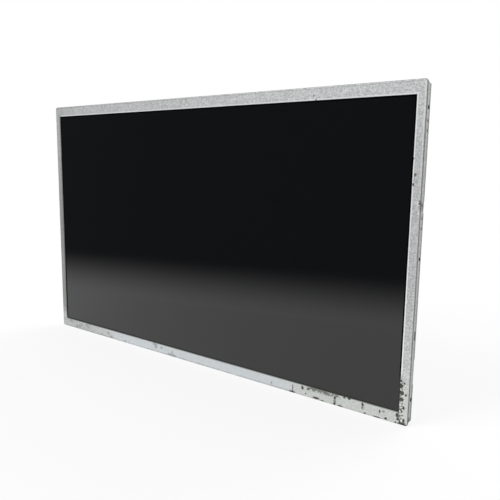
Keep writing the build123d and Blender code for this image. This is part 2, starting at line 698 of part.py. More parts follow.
def chip(size, x, z=CHIP_MIDDLE):
    """Flat package on the board with bevelled outer edges."""
    width, height, thickness = size
    body = slab(x - width / 2, x + width / 2, BOARD_REAR, BOARD_REAR + thickness, z - height / 2, z + height / 2)
    return chamfer(body.faces().sort_by(Axis.Y)[-1].edges(), CHIP_EDGE)


def memory_chip():
    """Small package with gull-wing leads on two sides."""
    width, height, thickness = MEMORY
    body = chip(MEMORY, MEMORY_X)
    reach = width / 2 + LEAD_OUT
    for i in range(LEAD_COUNT):
        z = CHIP_MIDDLE + (i - (LEAD_COUNT - 1) / 2) * LEAD_PITCH
        x0, x1 = MEMORY_X - reach, MEMORY_X + reach
        body += slab(x0, x1, BOARD_REAR, BOARD_REAR + LEAD_T, z - LEAD_W / 2, z + LEAD_W / 2)
    return body


def inductors():
    """Two shielded coils, each beside the chip that it works with."""
    width, height, thickness = COIL
    coils = []
    for x, feeds in ((POWER_X, POWER_CHIP), (LED_DRIVER_X, LED_DRIVER)):
        centre = x - feeds[0] / 2 - COIL_GAP - width / 2
        outline = Pos(centre, CHIP_MIDDLE) * chamfer(Rectangle(width, height).vertices(), COIL_CORNER)
        coil = sheet(outline, BOARD_REAR, BOARD_REAR + thickness)
        rear_d = BOARD_REAR + thickness
        coil -= sheet(Pos(centre, CHIP_MIDDLE) * Circle(COIL_RECESS_R), rear_d - COIL_RECESS, rear_d + BEYOND)
        coils.append(coil)
    return group(coils)


def keep_clear():
    """Places on the board that the rows of small parts go round, as X and Z limits."""
    centred = [
        (CONTROLLER_X, CONTROLLER), (POWER_X, POWER_CHIP), (LED_DRIVER_X, LED_DRIVER), (MEMORY_X, MEMORY),
        (POWER_X - POWER_CHIP[0] / 2 - COIL_GAP - COIL[0] / 2, COIL),
        (LED_DRIVER_X - LED_DRIVER[0] / 2 - COIL_GAP - COIL[0] / 2, COIL),
    ]
    limits = [
        (x - w / 2 - LEAD_OUT, x + w / 2 + LEAD_OUT, CHIP_MIDDLE - h / 2, CHIP_MIDDLE + h / 2)
        for x, (w, h, thickness) in centred
    ]
    socket_reach = SOCKET_HALF + SHELL_FIT + SHELL_T + SHELL_FOOT
    limits.append((SOCKET_X - socket_reach, SOCKET_X + socket_reach, SOCKET_Z - CONTACT_OUT, BOARD_TOP))
    lamp_top = LED_SOCKET_Z + LED_SOCKET_H
    limits.append((TAIL_X - LED_SOCKET_HALF, TAIL_X + LED_SOCKET_HALF, BOARD_LOW, lamp_top))
    return limits


def part_row(size, pitch, z):
    """Row of small parts along the board, with none where something else stands."""
    width, height, thickness = size
    taken = keep_clear()
    reach = BOARD_HALF - ROW_END
    places = [i * pitch - reach for i in range(int(2 * reach / pitch) + 1)]
    room_x = width / 2 + PART_MARGIN
    room_z = height / 2 + PART_MARGIN
    free = [
        x for x in places
        if not any(x0 - room_x < x < x1 + room_x and z0 - room_z < z < z1 + room_z for x0, x1, z0, z1 in taken)
    ]
    block = slab(-width / 2, width / 2, BOARD_REAR, BOARD_REAR + thickness, z - height / 2, z + height / 2)
    return group([Pos(x, 0, 0) * block for x in free])


def board_film():
    """Clear film over the board's parts, stuck to the cover above and cut out round the cable socket."""
    ramp_top = BOARD_TOP + FILM_RAMP
    section = rect(PARTS_REAR, PARTS_REAR + FILM, BOARD_LOW, BOARD_TOP)
    corners = (
        (PARTS_REAR, BOARD_TOP), (PARTS_REAR + FILM, BOARD_TOP),
        (COVER_REAR + FILM, ramp_top), (COVER_REAR, ramp_top),
    )
    section += make_face(Polyline(*corners, close=True))
    section += rect(COVER_REAR, COVER_REAR + FILM, ramp_top, ramp_top + FILM_REACH)
    film = across(section, 0, 2 * BOARD_HALF)
    half = SOCKET_HALF + FILM_WINDOW
    low = SOCKET_Z - CONTACT_OUT - FILM_WINDOW
    return film - slab(SOCKET_X - half, SOCKET_X + half, 0, PANEL_T + BEYOND, low, ramp_top + FILM_REACH + BEYOND)


def display_module():
    """Every piece of the module by name."""
    pieces = {
        "front_bezel": front_bezel(),
        "bezel_gasket": bezel_gasket(),
        "front_polarizer": front_polarizer(),
        "color_filter_glass": color_filter_glass(),
        "tft_glass": tft_glass(),
        "rear_polarizer": rear_polarizer(),
        "cell_tape": cell_tape(),
        "upper_diffuser": sheet(film_outline(), UPPER_DIFFUSER_D, UPPER_PRISM_D),
        "upper_prism_sheet": sheet(film_outline(), UPPER_PRISM_D, LOWER_PRISM_D),
        "lower_prism_sheet": sheet(film_outline(), LOWER_PRISM_D, LOWER_DIFFUSER_D),
        "lower_diffuser": sheet(film_outline(), LOWER_DIFFUSER_D, GUIDE_D),
        "light_guide": light_guide(),
        "reflector_sheet": reflector_sheet(),
        "led_strip": led_strip(),
        "leds": leds(),
        "mold_frame": mold_frame(),
        "side_nuts": side_nuts(),
        "rear_cover": rear_cover(),
        "driver_board": driver_board(),
        "signal_connector_housing": signal_connector_housing(),
        "signal_connector_shell": signal_connector_shell(),
        "signal_connector_contacts": signal_connector_contacts(),
        "led_connector": led_connector(),
        "timing_controller": chip(CONTROLLER, CONTROLLER_X),
        "power_chip": chip(POWER_CHIP, POWER_X),
        "led_driver_chip": chip(LED_DRIVER, LED_DRIVER_X),
        "memory_chip": memory_chip(),
        "inductors": inductors(),
        "capacitors": part_row(CAPACITOR, CAPACITOR_PITCH, BOARD_TOP - CAPACITOR_INSET),
        "resistors": part_row(RESISTOR, RESISTOR_PITCH, BOARD_LOW + RESISTOR_UP),
        "board_film": board_film(),
    }
    for number, x in enumerate(SOURCE_X, start=1):
        pieces[f"source_film_{number}"] = source_film(x)
        pieces[f"source_driver_{number}"] = source_driver(x)
    return pieces


os.makedirs("parts", exist_ok=True)
for name, piece in display_module().items():
    export_step(piece, f"parts/{name}.step")
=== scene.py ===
import json

import bmesh
import bpy
from mathutils import Matrix, Vector


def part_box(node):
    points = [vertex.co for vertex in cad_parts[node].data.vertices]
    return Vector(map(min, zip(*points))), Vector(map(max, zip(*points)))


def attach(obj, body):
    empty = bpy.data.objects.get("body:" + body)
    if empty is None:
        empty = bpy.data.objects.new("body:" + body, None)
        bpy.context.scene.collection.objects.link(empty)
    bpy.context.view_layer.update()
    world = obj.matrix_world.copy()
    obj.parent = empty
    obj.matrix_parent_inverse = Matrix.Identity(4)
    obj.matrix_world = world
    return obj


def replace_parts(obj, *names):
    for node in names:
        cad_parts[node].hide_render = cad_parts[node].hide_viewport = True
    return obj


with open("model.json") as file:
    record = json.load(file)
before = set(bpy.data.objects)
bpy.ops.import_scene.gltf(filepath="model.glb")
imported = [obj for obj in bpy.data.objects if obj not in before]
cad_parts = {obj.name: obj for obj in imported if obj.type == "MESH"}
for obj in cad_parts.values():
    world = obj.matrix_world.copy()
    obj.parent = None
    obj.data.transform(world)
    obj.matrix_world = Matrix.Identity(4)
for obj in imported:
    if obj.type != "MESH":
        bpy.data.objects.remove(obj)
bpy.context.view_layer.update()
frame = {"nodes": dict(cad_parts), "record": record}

# Looks of a bare laptop display module. Camera and studio are in metres, and all else in millimetres.

NODES = frame["nodes"]
MM = 0.001

# Camera
EYE = Vector((0.26722, -0.29699, 0.14668))
LOOK = Vector((-0.58982, 0.79307, -0.15215))
RIGHT = Vector((0.80100, 0.59849, 0.01447))
LENS = 40.23
SENSOR = 36.0
CLIP_START = 0.01

# Studio
WHITE = (1.0, 1.0, 1.0, 1.0)
FLOOR_HALF = 8.0
FLOOR_COLOUR = (0.92, 0.92, 0.92, 1.0)
FLOOR_GLOW = 0.8            # share of plain white in the floor that is seen near the object
FLOOR_NEAR = 0.3            # distances between which that share rises to one
FLOOR_FAR = 1.0
WORLD_LIGHT = 0.58
LAMPS = (                   # name, place, size and watts
    ("key", (-0.9, -1.5, 1.5), 1.4, 30.0),
    ("rear", (0.4, 1.7, 1.4), 1.4, 18.0),
)
LAMP_TARGET = Vector((0.0, 0.0, 0.09))
CARD_HALF = 1.2             # dark card that the screen faces
CARD_TOP = 1.1
CARD_FADE = 0.05
CARD_DARK = 0.05
SPLIT_LEFT = 0.0325         # height on the screen's sides where the card meets the floor
SPLIT_RIGHT = 0.0557

# Bezel
SIDE_BORDER = 5.525
TOP_BORDER = 7.7
BOTTOM_BORDER = 7.3
LIP = 0.6                   # sloped lip round the window
BEZEL_LOW, BEZEL_HIGH = (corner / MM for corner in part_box("front_bezel"))
FACE_Y = BEZEL_LOW.y
WALL = BEZEL_HIGH.x         # outer face of the right-hand wall
WINDOW_HALF = WALL - SIDE_BORDER
WINDOW_LOW = BEZEL_LOW.z + BOTTOM_BORDER
WINDOW_TOP = BEZEL_HIGH.z - TOP_BORDER

# Shaders
MIX_A = 6                   # sockets of a colour mix
MIX_B = 7
MIX_RESULT = 2
RELIEF = (0.3, 0.02)        # usual strength of a bump, and its depth
HARD_RIM = (1.15, 0.75)     # shares of a mark's radius where it starts and where it is whole
SOFT_RIM = (1.45, 0.45)


def tint(red, green, blue):
    """Colour from 0 to 255 on the sRGB curve, in the shader's own units."""
    def linear(value):
        value = value / 255
        return value / 12.92 if value <= 0.04045 else ((value + 0.055) / 1.055) ** 2.4
    return (linear(red), linear(green), linear(blue), 1.0)


class Nodes:
    """Short ways to add nodes to a tree."""

    def __init__(self, tree):
        self.tree = tree

    def feed(self, socket, value):
        """Links a socket to another one, or sets its value."""
        if isinstance(value, bpy.types.NodeSocket):
            self.tree.links.new(value, socket)
        elif value is not None:
            socket.default_value = value

    def add(self, kind, *values, **settings):
        """New node with its settings, and values for its sockets in turn."""
        node = self.tree.nodes.new("ShaderNode" + kind)
        for key, value in settings.items():
            setattr(node, key, value)
        for socket, value in zip(node.inputs, values):
            self.feed(socket, value)
        return node

    def math(self, operation, *values):
        """Result of one operation."""
        return self.add("Math", *values, operation=operation).outputs[0]

    def band(self, value, start, end):
        """Rises smoothly from 0 at start to 1 at end."""
        return self.add("MapRange", value, start, end, interpolation_type="SMOOTHSTEP").outputs[0]

    def lerp(self, factor, low, high):
        """Number between two others."""
        return self.add("MapRange", factor, 0.0, 1.0, low, high).outputs[0]

    def seen(self):
        """One for rays from the camera, and from glossy and clear surfaces."""
        path = self.add("LightPath").outputs
        mirrored = self.math("MAXIMUM", path["Is Glossy Ray"], path["Is Transmission Ray"])
        return self.math("MAXIMUM", path["Is Camera Ray"], mirrored)


class Surface(Nodes):
    """Material with one principled shader, and textures measured in millimetres."""

    def __init__(self, name, **fixed):
        self.material = bpy.data.materials.new(name)
        self.material.use_nodes = True
        super().__init__(self.material.node_tree)
        self.shader = self.tree.nodes["Principled BSDF"]
        for key, value in fixed.items():
            self.put(key, value)
        place = self.add("TexCoord").outputs["Object"]
        self.mm = self.add("VectorMath", place, None, None, 1 / MM, operation="SCALE").outputs[0]
        axes = self.add("SeparateXYZ", self.mm).outputs
        self.x, self.y, self.z = axes[0], axes[1], axes[2]

    def put(self, key, value):
        """Sets or links one of the shader's own sockets."""
        names = {"ior": "IOR", "specular": "Specular IOR Level"}
        self.feed(self.shader.inputs[names.get(key, key.replace("_", " ").title())], value)

    def stretched(self, x, y, z, vector=None):
        """Coordinates times a factor on each axis."""
        return self.add("VectorMath", vector or self.mm, (x, y, z), operation="MULTIPLY").outputs[0]

    def noise(self, scale, detail=2.0, roughness=0.5, vector=None, output=0):
        """Cloudy noise with a number of waves to the millimetre."""
        node = self.add("TexNoise", vector or self.mm)
        node.inputs["Scale"].default_value = scale
        node.inputs["Detail"].default_value = detail
        node.inputs["Roughness"].default_value = roughness
        return node.outputs[output]

    def uneven(self, scale, roughness, reach, offset):
        """Noise that makes the rim of a mark wander."""
        cloud = self.noise(scale, detail=4.0, roughness=roughness)
        return self.math("MULTIPLY_ADD", cloud, reach, offset)

    def cells(self, scale, output="Distance", vector=None, **settings):
        """Cells with a number of them to the millimetre."""
        node = self.add("TexVoronoi", vector or self.mm, **settings)
        node.inputs["Scale"].default_value = scale
        return node.outputs[output]

    def warped(self, scale, reach):
        """Coordinates pushed about by slow noise."""
        push = self.noise(scale, output=1)
        moved = self.add("VectorMath", push, (reach, reach, reach), self.mm, operation="MULTIPLY_ADD")
        return moved.outputs[0]

    def lines(self, value, pitch, start, end):
        """Stripes across a coordinate, a line every second pitch."""
        return self.band(self.math("PINGPONG", value, pitch), start, end)

    def near(self, value, middle, half, soft):
        """One within half of a middle value, falling to nothing over a soft edge."""
        off = self.math("ABSOLUTE", self.math("SUBTRACT", value, middle))
        return self.band(off, half + soft, half)

    def spot(self, centre, radii, ragged, rim=HARD_RIM):
        """One inside an ellipsoid with a broken edge, and nothing outside it."""
        offset = self.add("VectorMath", self.mm, centre, operation="SUBTRACT").outputs[0]
        share = self.stretched(*(1 / r for r in radii), vector=offset)
        length = self.add("VectorMath", share, operation="LENGTH").outputs["Value"]
        return self.band(self.math("ADD", length, ragged), *rim)

    def most(self, values):
        """Largest of several masks."""
        result = values[0]
        for value in values[1:]:
            result = self.math("MAXIMUM", result, value)
        return result

    def times(self, *masks):
        """Product of several masks."""
        result = masks[0]
        for mask in masks[1:]:
            result = self.math("MULTIPLY", result, mask)
        return result

    def weighed(self, *parts):
        """Sum of values, each times its weight."""
        total = 0.0
        for value, weight in parts:
            total = self.math("MULTIPLY_ADD", value, weight, total)
        return total

    def mix(self, factor, a, b):
        """Colour between two others."""
        node = self.add("Mix", data_type="RGBA")
        self.feed(node.inputs[0], factor)
        self.feed(node.inputs[MIX_A], a)
        self.feed(node.inputs[MIX_B], b)
        return node.outputs[MIX_RESULT]

    def coated(self, colour, layers):
        """Colour with others laid over it in turn, each by its mask."""
        for mask, tone in layers:
            colour = self.mix(mask, colour, tone)
        return colour

    def bump(self, height, strength, depth):
        """Relief of a depth in millimetres."""
        node = self.add("Bump")
        node.inputs["Strength"].default_value = strength
        node.inputs["Distance"].default_value = depth * MM
        self.feed(node.inputs["Height"], height)
        self.put("normal", node.outputs[0])


# Tones of the bezel: dark and pale zinc, then what lies on it, and painted light and shade
ZINC = (tint(146, 148, 149), tint(236, 237, 238))
# painted light: the lower border is paler, as if lit from below
LIT_LOWER_ZINC = (tint(190, 195, 198), tint(214, 218, 220))
DULL = tint(120, 124, 117)
DULL_HIGH = tint(121, 122, 124)
# pale tone of the scratches, and of the painted highlight along the face's right edge
SCRATCH_AND_HIGHLIGHT = tint(240, 241, 241)
SEAM = tint(112, 114, 110)
GUM = (tint(184, 187, 183), tint(222, 225, 221))
GUM_FLECK = tint(238, 238, 228)
TAPE_END = tint(98, 100, 98)
SMUDGE = tint(118, 121, 119)
OLIVE_DIRT = tint(80, 79, 66)
# painted highlight on the window's lip, and painted shade on its left and lower parts
LIP_HIGHLIGHT = tint(244, 245, 246)
LIP_SHADE = tint(72, 73, 72)
LEDGE_SHADE = tint(92, 94, 88)
# painted shade on the folds and walls, and below the top edge
FOLD_SHADE = tint(92, 93, 88)
# tone of the scuffs, and of the painted shade in the walls' dimples, holes and lower corner
SCUFF_AND_SHADE = tint(52, 52, 50)
BLACK_DIRT = tint(46, 45, 34)

# Shares in which they cover what is below
RIGHT_SHARE = 0.12
CROWN_SHARE = 0.22
CORNER_SHARE = 0.3
SEAM_SHARE = 0.45
GUM_SHARE = 0.85
GUM_FLECK_SHARE = 0.55
TAPE_END_SHARE = 0.75
SMUDGE_SHARE = 0.6
SCRATCH_SHARE = 0.75
FADED_SHARE = 0.8
LIP_HIGHLIGHT_SHARE = 0.9
LIP_SHADE_SHARE = 0.35
WALL_SHARE = 0.33
REAR_SHARE = 0.85
SCUFF_AND_SHADE_SHARE = 0.85
DIRT_SHARE = 0.92

# Marks on the bezel's face: X and Z of the middle, then half width and half height
SMUDGES = (
    (-150.0, 5.9, 3.0, 1.0), (-141.7, 2.4, 1.5, 1.8), (-135.4, 4.7, 1.2, 1.1), (-137.8, 2.6, 1.4, 1.5),
    (-127.6, 5.9, 1.1, 1.3), (-126.0, 4.0, 1.0, 1.4), (-124.0, 6.2, 0.9, 0.9), (-107.9, 1.5, 1.6, 0.7),
    (-99.0, 3.9, 1.6, 1.6), (-95.2, 1.6, 2.2, 1.0), (-77.7, 1.4, 1.6, 0.8), (-43.2, 5.9, 2.6, 1.2),
    (-41.9, 4.4, 1.6, 1.4), (-35.8, 4.7, 1.8, 0.8), (-24.5, 3.0, 0.7, 2.2), (-26.6, 1.6, 2.8, 0.9),
    (-22.8, 1.4, 2.8, 0.9), (67.9, 2.8, 0.8, 0.9), (-13.9, 188.0, 0.4, 3.0), (157.5, 142.4, 0.5, 0.9),
)
SCRATCHES = (
    (159.9, 126.9, 0.5, 1.4), (160.6, 121.7, 0.5, 0.9),
)
DIRT = (
    (84.3, 0.8, 1.8, 0.5), (92.0, 5.4, 0.8, 1.1), (96.0, 5.6, 0.6, 0.6), (94.4, 2.2, 0.4, 0.4),
    (102.0, 1.2, 2.2, 0.6), (106.5, 0.7, 1.0, 0.4), (115.2, 4.8, 0.6, 0.7), (115.0, 1.0, 0.8, 0.7),
    (119.0, 0.6, 1.4, 0.5), (121.6, 6.8, 0.7, 0.5), (124.9, 6.9, 0.9, 0.6), (133.8, 5.8, 0.7, 0.9),
    (135.4, 0.7, 0.7, 0.5), (144.7, 4.5, 0.4, 0.9), (143.0, 0.6, 2.0, 0.4), (148.7, 1.4, 0.7, 0.7),
    (155.4, 5.3, 0.8, 1.2), (155.8, 3.2, 0.7, 0.8), (159.3, 3.2, 0.6, 1.0), (158.6, 1.0, 1.9, 0.9),
    (154.6, 0.7, 0.5, 0.5), (160.3, 0.5, 1.0, 0.5), (156.8, 26.3, 0.5, 0.6), (158.7, 25.2, 0.5, 0.6),
    (156.7, 23.4, 1.1, 1.3), (157.5, 19.1, 1.3, 1.1), (159.8, 18.5, 0.6, 0.6), (157.3, 15.3, 1.3, 1.0),
    (158.9, 10.6, 0.5, 0.9), (158.0, 8.4, 0.4, 0.8),
    (93.7, 187.1, 0.4, 0.4), (95.1, 184.6, 0.4, 0.3), (156.9, 137.0, 0.5, 0.8), (156.4, 150.8, 0.3, 0.5),
    (160.9, 128.3, 0.5, 0.3), (160.9, 127.0, 0.4, 0.5),
)
FADED_DIRT = (
    (100.5, 6.6, 3.0, 0.9), (108.0, 7.0, 2.2, 1.2), (113.0, 6.4, 1.6, 0.9), (115.2, 3.4, 0.9, 2.4),
    (133.8, 3.8, 0.9, 1.4), (147.1, 5.2, 0.9, 0.7), (157.5, 142.2, 1.0, 1.0), (156.9, 139.5, 0.5, 1.2),
)
SPOT_DEPTH = 1.5            # marks go this far round the sheet's edge
RAGGED = {"scale": 0.9, "roughness": 0.65, "reach": 1.1, "offset": -0.55}
TORN = {"scale": 1.7, "roughness": 0.7, "reach": 2.4, "offset": -1.4}
FADED_CUT = (0.4, 0.52)     # levels of noise between which faded dirt starts to show


def outside_window(s):
    """Distance outside the window's edge, negative inside it."""
    beside = s.math("SUBTRACT", s.math("ABSOLUTE", s.x), WINDOW_HALF)
    middle = (WINDOW_LOW + WINDOW_TOP) / 2
    above = s.math("ABSOLUTE", s.math("SUBTRACT", s.z, middle))
    return s.math("MAXIMUM", beside, s.math("SUBTRACT", above, (WINDOW_TOP - WINDOW_LOW) / 2))


def marks(s, places, ragged, rim=HARD_RIM):
    """Mask of marks on the bezel's face."""
    return s.most([s.spot((x, FACE_Y, z), (a, SPOT_DEPTH, b), ragged, rim) for x, z, a, b in places])


CRYSTALS = 1.35             # to the millimetre, as are the small ones
SMALL_CRYSTALS = 2.8


def spangle(s):
    """Tone of the zinc crystals, large and small, from 0 to 1."""
    warped = s.warped(scale=0.6, reach=1.2)
    large = s.add("SeparateColor", s.cells(CRYSTALS, "Color", warped)).outputs[0]
    small = s.add("SeparateColor", s.cells(SMALL_CRYSTALS, "Color", warped)).outputs[1]
    fine = s.noise(scale=4.0, detail=3.0, roughness=0.65)
    return s.weighed((large, 0.5), (small, 0.3), (fine, 0.2))


# Dull parts of the face, and painted shade below its top edge. Pairs are where each starts and where it is
# whole
LEFT_X = (-130.0, -157.0)
LEFT_Z = (3.0, 20.0)
LEFT_DOWN = (180.0, 70.0)   # the left border grows duller downwards, from the first share to the second
LEFT_SHARES = (0.2, 0.62)
LEFT_LOW = (62.0, 32.0)     # and lower still by another share
LEFT_LOW_SHARE = 0.22
LEFT_GREY = (40.0, 110.0)   # its tone turns from greenish to grey between these heights
RIGHT_RISE = 0.6            # width over which the right border's dulling starts beside the window
RIGHT_DULL = (60.0, 15.0, 30.0)  # middle, half height and fade
CROWN_IN = 0.9              # painted shade below the top edge, then its half width and fade
CROWN_LINE = (0.2, 0.4)
CORNER_X = (-85.0, -135.0)  # left end of the lower border
CORNER_Z = (9.0, 7.0)


def dulled(s):
    """Layers of dulling on the left and right borders and in the lower left corner, and of painted shade
    below the top edge.
    """
    further = s.lerp(s.band(s.z, *LEFT_DOWN), *LEFT_SHARES)
    share = s.math("ADD", further, s.times(s.band(s.z, *LEFT_LOW), LEFT_LOW_SHARE))
    left = s.times(s.band(s.x, *LEFT_X), share, s.band(s.z, *LEFT_Z))
    starts = s.band(s.x, WINDOW_HALF, WINDOW_HALF + RIGHT_RISE)
    right = s.times(starts, s.near(s.z, *RIGHT_DULL), RIGHT_SHARE)
    crown = s.times(s.near(s.z, BEZEL_HIGH.z - CROWN_IN, *CROWN_LINE), CROWN_SHARE)
    corner = s.times(s.band(s.x, *CORNER_X), s.band(s.z, *CORNER_Z), CORNER_SHARE)
    left_tone = s.mix(s.band(s.z, *LEFT_GREY), DULL, DULL_HIGH)
    return [(left, left_tone), (right, DULL), (crown, FOLD_SHADE), (corner, DULL)]


FLAT = (0.08, 0.03)         # depths behind the face between which the sheet counts as flat
HIGHLIGHT_IN = 1.0             # painted highlight this far in from the wall, then its half width and fade
HIGHLIGHT_LINE = (0.15, 0.3)
HIGHLIGHT_UP = (110.0, 165.0)  # it grows brighter upwards, from the first share to the second
HIGHLIGHT_SHARES = (0.1, 0.55)
SEAM_LINE = (0.9, 0.2, 0.35)  # dark line above the lower edge: height, half width and fade
SEAM_CUT = (0.35, 0.6)


def highlight_and_seam(s):
    """Layers at the edges of the flat face: painted highlight on the right, dark along the lower edge."""
    flat = s.band(s.y, *(FACE_Y + depth for depth in FLAT))
    upwards = s.lerp(s.band(s.z, *HIGHLIGHT_UP), *HIGHLIGHT_SHARES)
    painted_highlight = s.times(s.near(s.x, WALL - HIGHLIGHT_IN, *HIGHLIGHT_LINE), upwards, flat)
    patchy = s.band(s.noise(scale=0.4, detail=3.0, roughness=0.6), *SEAM_CUT)
    seam = s.times(s.near(s.z, *SEAM_LINE), patchy, flat, SEAM_SHARE)
    return [(painted_highlight, SCRATCH_AND_HIGHLIGHT), (seam, SEAM)]


# Glue of a tape that once lay on the lower and right borders
RESIDUE_START = 84.5        # the tape ended here on the lower border
RESIDUE_EDGE = 0.3          # with an edge this soft to either side
RESIDUE_TOP = 28.0          # and here on the right border
RESIDUE_RAGGED = 5.0        # with an end that wanders and fades this far
RESIDUE_IN = 1.0            # its glue starts this far inside the window's edge
TAPE_END_LINE = (0.35, 0.25)  # half width and fade of the dark line at the tape's end
TAPE_END_Z = (6.0, 5.2)
FLECK_REACH = 3.4           # flecks beside the window
FLECK_RAGGED = 2.4
FLECK_FADE = 1.2
FLECK_TURN = 0.8            # radians
FLECK_STRETCH = (0.7, 1.0, 1.25)
FLECK_DENSER = 0.08         # dark flecks lie closer beside the window
DARK_CUT = (0.57, 0.6)
WHITE_CUT = (0.52, 0.47)
GUM_CUT = (0.35, 0.65)


def glue(s, lower, ragged):
    """Masks of old tape glue on the lower and right borders: all of it, its dark and its white flecks."""
    under = s.times(s.band(s.x, RESIDUE_START - RESIDUE_EDGE, RESIDUE_START + RESIDUE_EDGE), lower)
    height = s.math("MULTIPLY_ADD", ragged, RESIDUE_RAGGED, s.z)
    below = s.band(height, RESIDUE_TOP, RESIDUE_TOP - RESIDUE_RAGGED)
    beside = s.times(below, s.band(s.x, WINDOW_HALF - RESIDUE_IN, WINDOW_HALF))
    turned = s.add("VectorRotate", s.mm, rotation_type="Y_AXIS")
    turned.inputs["Angle"].default_value = FLECK_TURN
    stretched = s.stretched(*FLECK_STRETCH, vector=turned.outputs[0])
    grain = s.noise(scale=0.75, detail=3.5, roughness=0.62, vector=stretched)
    end = WINDOW_HALF + FLECK_REACH
    grain = s.math("ADD", grain, s.lerp(s.band(s.x, WINDOW_HALF, end), FLECK_DENSER, 0.0))
    reach = s.math("MULTIPLY_ADD", ragged, FLECK_RAGGED, s.x)
    zone = s.times(beside, s.band(reach, end, end - FLECK_FADE))
    dark = s.times(s.band(grain, *DARK_CUT), zone)
    white = s.times(s.band(grain, *WHITE_CUT), zone)
    return s.most([under, beside]), dark, white


def gummed(s, gum, white, lower):
    """Layers of glue, its white flecks and the dark line where the tape ended."""
    cloud = s.noise(scale=1.1, detail=4.0, roughness=0.7)
    gum_tone = s.mix(s.band(cloud, *GUM_CUT), *GUM)
    end = s.times(s.near(s.x, RESIDUE_START, *TAPE_END_LINE), s.band(s.z, *TAPE_END_Z), lower)
    return [
        (s.times(gum, GUM_SHARE), gum_tone),
        (s.times(white, GUM_FLECK_SHARE), GUM_FLECK),
        (s.times(end, TAPE_END_SHARE), TAPE_END),
    ]


GRIME_SPAN = (107.0, 9.0, 4.0)  # middle, half width and fade along the window's lower edge
GRIME_REACH = (3.2, 1.2)    # from the window's edge
GRIME_STRETCH = (1.0, 1.0, 0.8)
GRIME_CUT = (0.46, 0.51)


def grime(s, lower, edge):
    """Mask of dirt caught along the window's lower edge."""
    cloud = s.noise(scale=0.5, detail=5.0, roughness=0.72, vector=s.stretched(*GRIME_STRETCH))
    return s.times(s.band(cloud, *GRIME_CUT), s.band(edge, *GRIME_REACH), s.near(s.x, *GRIME_SPAN), lower)


def stained(s, lower, edge, ragged):
    """Layers of smudges, bright scratches and faded dirt."""
    smudges = marks(s, SMUDGES, ragged, SOFT_RIM)
    scratches = marks(s, SCRATCHES, ragged)
    broken = s.band(s.noise(scale=1.6, detail=4.0, roughness=0.7), *FADED_CUT)
    faded = s.most([s.times(marks(s, FADED_DIRT, ragged), broken), grime(s, lower, edge)])
    return [
        (s.times(smudges, SMUDGE_SHARE), SMUDGE),
        (s.times(scratches, SCRATCH_SHARE), SCRATCH_AND_HIGHLIGHT),
        (s.times(faded, FADED_SHARE), OLIVE_DIRT),
    ]


LIP_FADE = 0.3
LIP_UP = 3.0                # the painted highlight on the lip comes in over this height above the glue
LIP_HIGHLIGHT_X = (0.5, 3.0)   # and between these distances from the window's left edge
LIP_SHADE_X = (0.5, 0.0)     # and painted shade between these
LEDGE_START = (-0.6, -0.2)  # painted shade on the lower lip, from the window's lower edge
LEDGE_END = (1.0, 0.5)
LEDGE_IN = 1.0
LEDGE_X = (-150.0, 100.0)   # it thins out to the right, from the first share to the second
LEDGE_SHARES = (0.75, 0.55)


def lipped(s, edge):
    """Layers on the window's lip: painted highlight at the top and right, painted shade on the left and
    below.
    """
    lip = s.band(edge, LIP + LIP_FADE, LIP)
    above_glue = s.band(s.z, RESIDUE_TOP, RESIDUE_TOP + LIP_UP)
    painted_highlight = s.times(lip, above_glue, s.band(s.x, *(off - WINDOW_HALF for off in LIP_HIGHLIGHT_X)))
    shaded = s.times(lip, s.band(s.x, *(off - WINDOW_HALF for off in LIP_SHADE_X)))
    inside = s.band(s.math("ABSOLUTE", s.x), WINDOW_HALF, WINDOW_HALF - LEDGE_IN)
    starts = s.band(s.z, *(WINDOW_LOW + off for off in LEDGE_START))
    ends = s.band(s.z, *(WINDOW_LOW + off for off in LEDGE_END))
    ledge_shade = s.times(starts, ends, inside, s.lerp(s.band(s.x, *LEDGE_X), *LEDGE_SHARES))
    return [
        (s.times(painted_highlight, LIP_HIGHLIGHT_SHARE), LIP_HIGHLIGHT),
        (s.times(shaded, LIP_SHADE_SHARE), LIP_SHADE),
        (ledge_shade, LEDGE_SHADE),
    ]


FOLD_SHADE_IN = (0.03, 0.15)    # depths between which painted shade comes in on the front fold
FOLD_SHADE_OUT = (1.0, 0.6)     # and back to where it starts to
FOLD_SHARES = (0.6, 0.8)    # more so past the tape's end
FOLD_RISE = 5.0             # over this length
REAR_SHADE = (2.6, 4.0)      # painted shade grows again on the walls between these depths
FOLD_FROM = (1.5, 3.0)      # distances from the window


def folds(s, edge):
    """Mask of painted shade on the folds and walls, away from the window's lip."""
    depth = s.math("SUBTRACT", s.y, FACE_Y)
    starts = s.band(depth, *FOLD_SHADE_IN)
    share = s.lerp(s.band(s.x, RESIDUE_START, RESIDUE_START + FOLD_RISE), *FOLD_SHARES)
    front = s.times(starts, s.band(depth, *FOLD_SHADE_OUT), share)
    rear = s.times(s.band(depth, *REAR_SHADE), REAR_SHARE)
    return s.times(s.most([front, s.times(starts, WALL_SHARE), rear]), s.band(edge, *FOLD_FROM))


SCUFFED = (125.4, 2.0, 1.0)  # height, half height and fade of the scuffed part of the right-hand wall
SCUFF_IN = (1.3, 0.7)       # from the wall's face
SCUFF_CUT = (0.48, 0.53)
PRESSED = (113.3, 118.7, 165.4, 170.7)  # heights of the dimples in the side walls, with painted shade in them
PRESSED_R = 1.0
HOLES = (15.5, 96.5, 177.5)  # heights of the screw holes, with painted shade round them too
HOLE_R = 1.3
HOLE_Y = 0.1
CORNER_SHADE = (161.7, -0.95, 3.8), (1.0, 1.0, 1.5)  # painted shade at the lower end of the right-hand wall
KNOCK_GRIME = (161.5, -0.4, 125.8), (1.5, 1.7, 0.9)  # on the wall beside the knock


